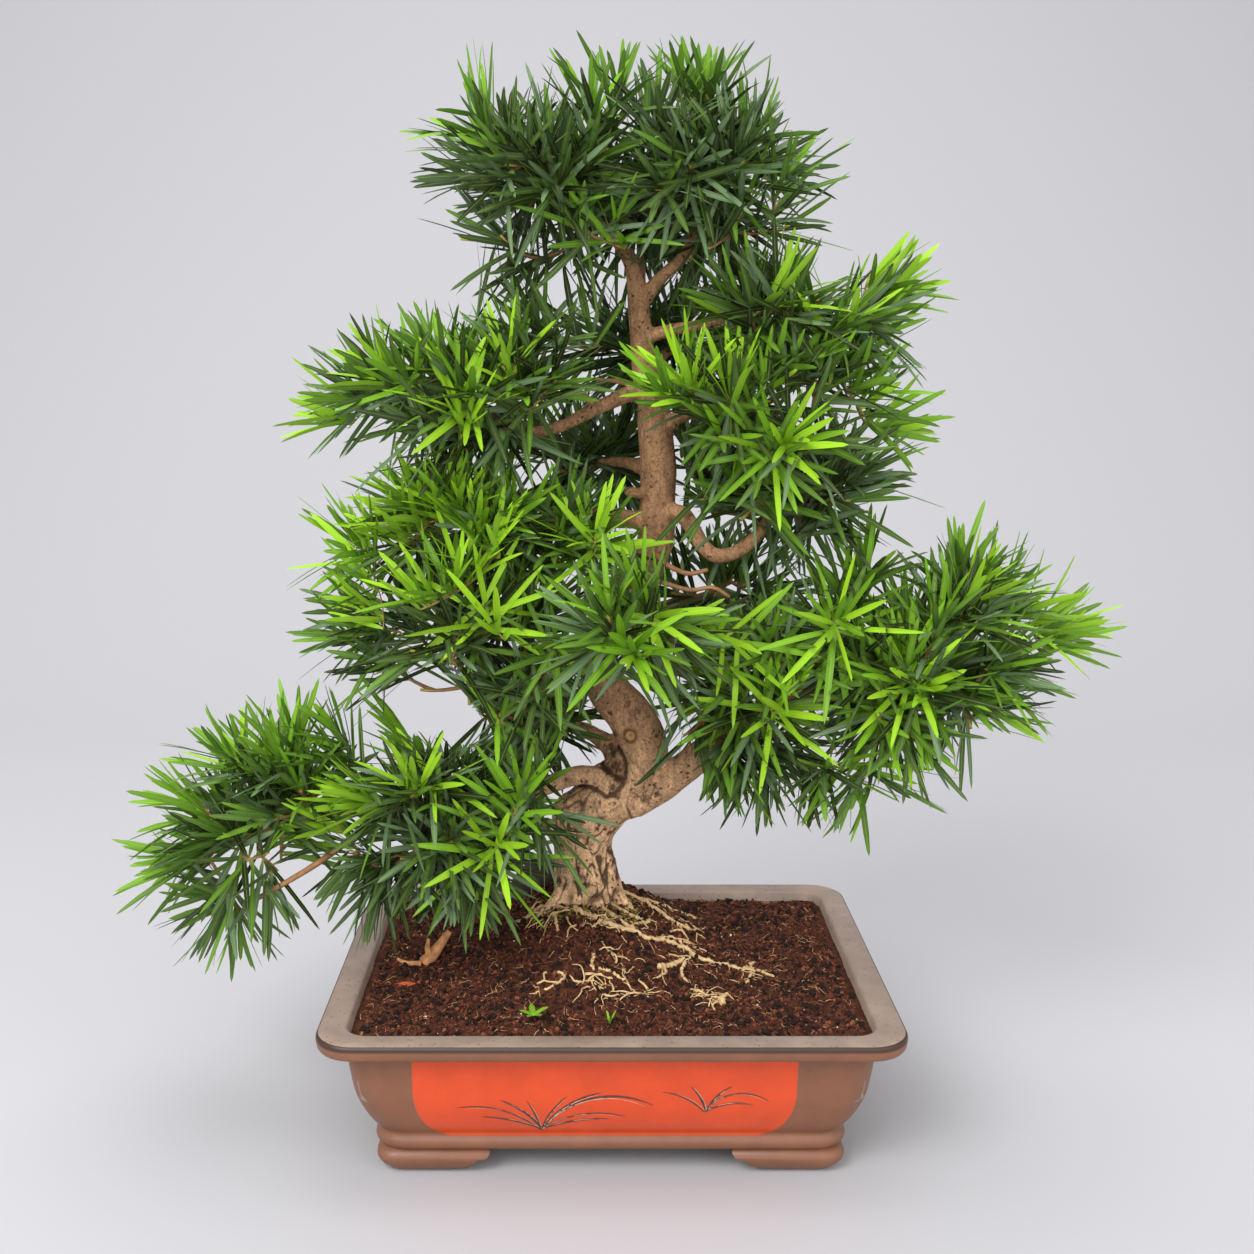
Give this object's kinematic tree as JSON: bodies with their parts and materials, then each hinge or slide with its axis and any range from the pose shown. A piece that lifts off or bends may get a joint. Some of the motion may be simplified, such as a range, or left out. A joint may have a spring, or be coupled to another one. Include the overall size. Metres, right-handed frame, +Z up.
{
  "type": "potted bonsai tree",
  "caption": "Podocarpus bonsai with a curved trunk, tiered boughs and masses of narrow leaves, planted in a soil-filled rectangular clay pot on bracket feet.",
  "frame": {"origin": "centre of the pot on the plane of its foot soles", "axes": "+X along the pot's long side to the viewer's right, +Y away from the viewer, +Z up"},
  "size_m": [0.652, 0.36, 0.675],
  "materials": {
    "glazed_clay": "brown stoneware, smooth and half matt, with a glossy orange glazed panel on the front",
    "soil": "moist dark brown fibrous potting soil, rough and matt",
    "bark": "light tan bark, matt, with fine vertical fissures and pits",
    "root_bark": "pale dry surface roots, matt",
    "stone": "smooth dark grey-brown pebble, matt",
    "leaves": "narrow leathery leaves, half glossy, bright green at the tips of the shoots and dark green within"
  },
  "bodies": {
    "root": {"pot": "glazed_clay", "soil": "soil", "trunk": "bark", "low_right_bough": "bark", "low_right_branch": "bark", "low_left_bough": "bark", "low_left_branch": "bark", "back_left_bough": "bark", "back_right_bough": "bark", "mid_left_low_bough": "bark", "centre_front_bough": "bark", "mid_left_high_bough": "bark", "mid_right_low_bough": "bark", "back_mid_bough": "bark", "mid_right_high_bough": "bark", "upper_left_bough": "bark", "back_high_bough": "bark", "upper_right_bough": "bark", "right_leader": "bark", "back_leader": "bark", "left_leader": "bark", "front_surface_roots": "root_bark", "right_surface_root": "root_bark", "left_surface_roots": "root_bark", "stone": "stone", "top_left_foliage": "leaves", "top_right_foliage": "leaves", "top_back_foliage": "leaves", "upper_left_foliage": "leaves", "upper_right_foliage": "leaves", "back_high_foliage": "leaves", "mid_right_high_foliage": "leaves", "mid_right_low_foliage": "leaves", "back_mid_foliage": "leaves", "mid_left_high_foliage": "leaves", "mid_left_low_foliage": "leaves", "centre_front_foliage": "leaves", "back_right_foliage": "leaves", "back_left_foliage": "leaves", "low_right_inner_foliage": "leaves", "low_right_outer_foliage": "leaves", "low_left_inner_foliage": "leaves", "low_left_outer_foliage": "leaves"}
  },
  "joints": []
}
